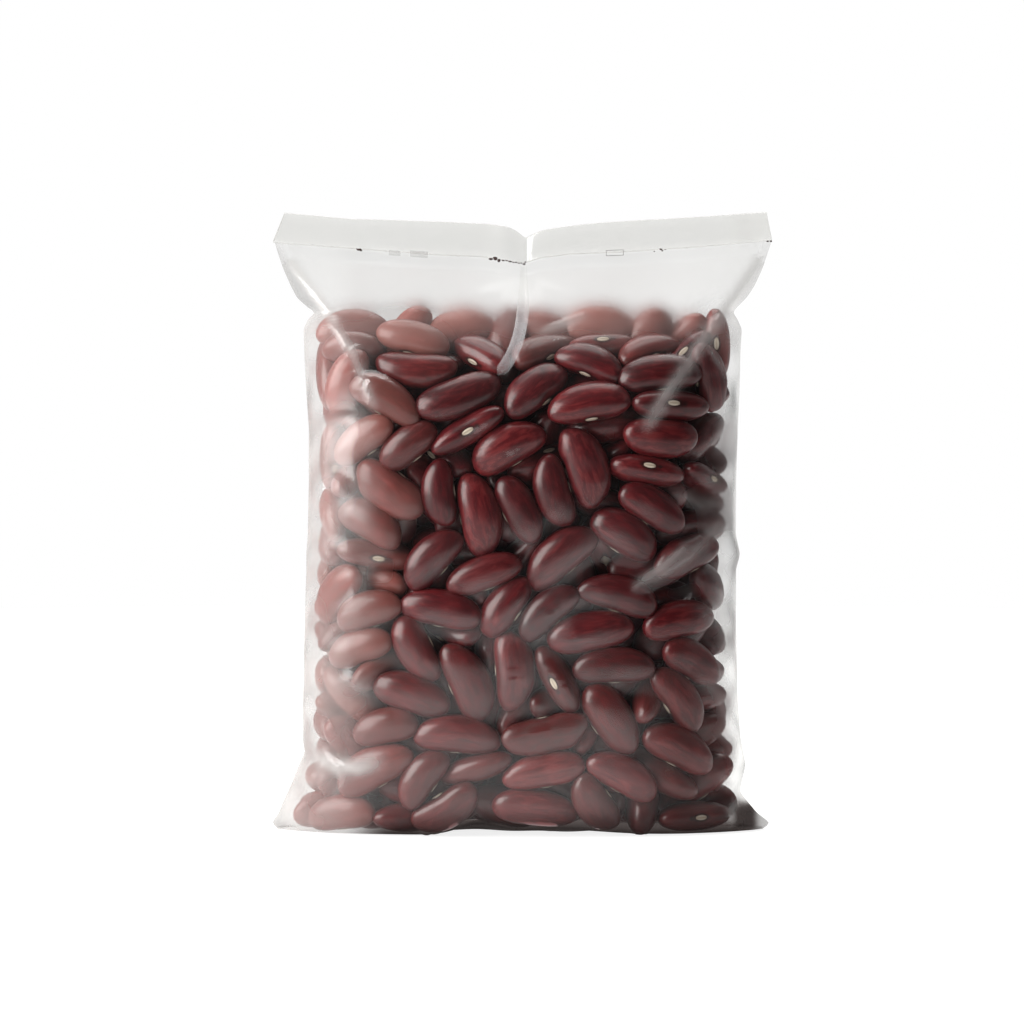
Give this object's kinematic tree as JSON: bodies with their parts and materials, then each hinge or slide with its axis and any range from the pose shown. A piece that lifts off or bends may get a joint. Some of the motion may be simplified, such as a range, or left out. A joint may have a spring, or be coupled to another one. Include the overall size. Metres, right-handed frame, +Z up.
{
  "type": "bag of dried kidney beans",
  "caption": "Clear sealed film bag filled with dried red kidney beans, standing upright on a flat base, with a folded header across the top and pointed bottom corners.",
  "frame": {"origin": "centre of the bag's bounding box, on the surface that it stands on", "axes": "+Z up to the header, -Y is the front, +X to the right seen from the front"},
  "size_m": [0.1036, 0.0392, 0.1276],
  "materials": {
    "film": "clear plastic film with a slight milky haze and soft reflections",
    "header_film": "the same film folded over and heat-sealed, so whiter and less clear",
    "bean_skin": "semi-gloss dry bean skin, dark red-brown, with faint wrinkles and streaks",
    "bean_eye": "small cream eye on the inner edge of a bean, matt",
    "seal_scuff": "dark specks of dirt caught in the header's seal"
  },
  "bodies": {
    "root": {"filled_bag": "film"}
  },
  "joints": []
}
